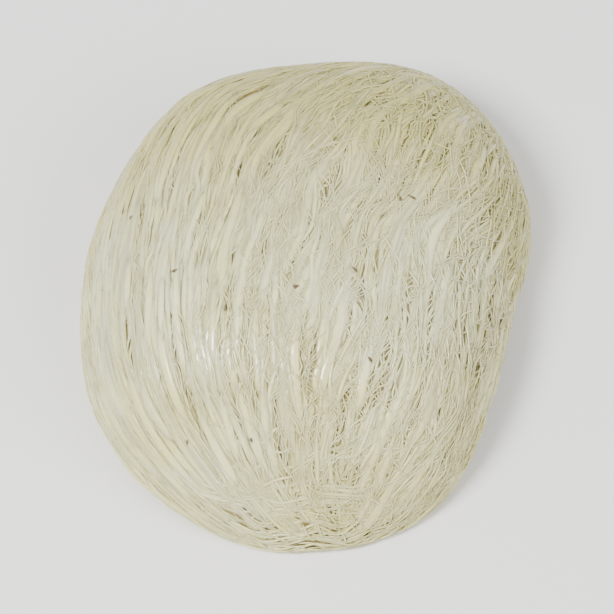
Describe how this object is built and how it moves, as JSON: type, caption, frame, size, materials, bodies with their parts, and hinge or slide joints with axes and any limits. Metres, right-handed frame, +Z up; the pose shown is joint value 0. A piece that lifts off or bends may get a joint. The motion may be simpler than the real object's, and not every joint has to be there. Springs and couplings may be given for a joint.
{
  "type": "edible bird's nest",
  "caption": "Dried half-cup swiftlet nest of fine cream strands that run from foot to foot, domed side up, with an open hollow underneath.",
  "frame": {"origin": "on the surface the nest rests on, below the middle of its bounds", "axes": "+Z up out of the crown; +Y away from the near foot, along the length; +X towards the wall edge"},
  "size_m": [0.0594, 0.0706, 0.0273],
  "materials": {
    "dried_strands": "satin, slightly translucent cream strands with amber in the gaps between them"
  },
  "bodies": {
    "root": {"nest": "dried_strands"}
  },
  "joints": []
}
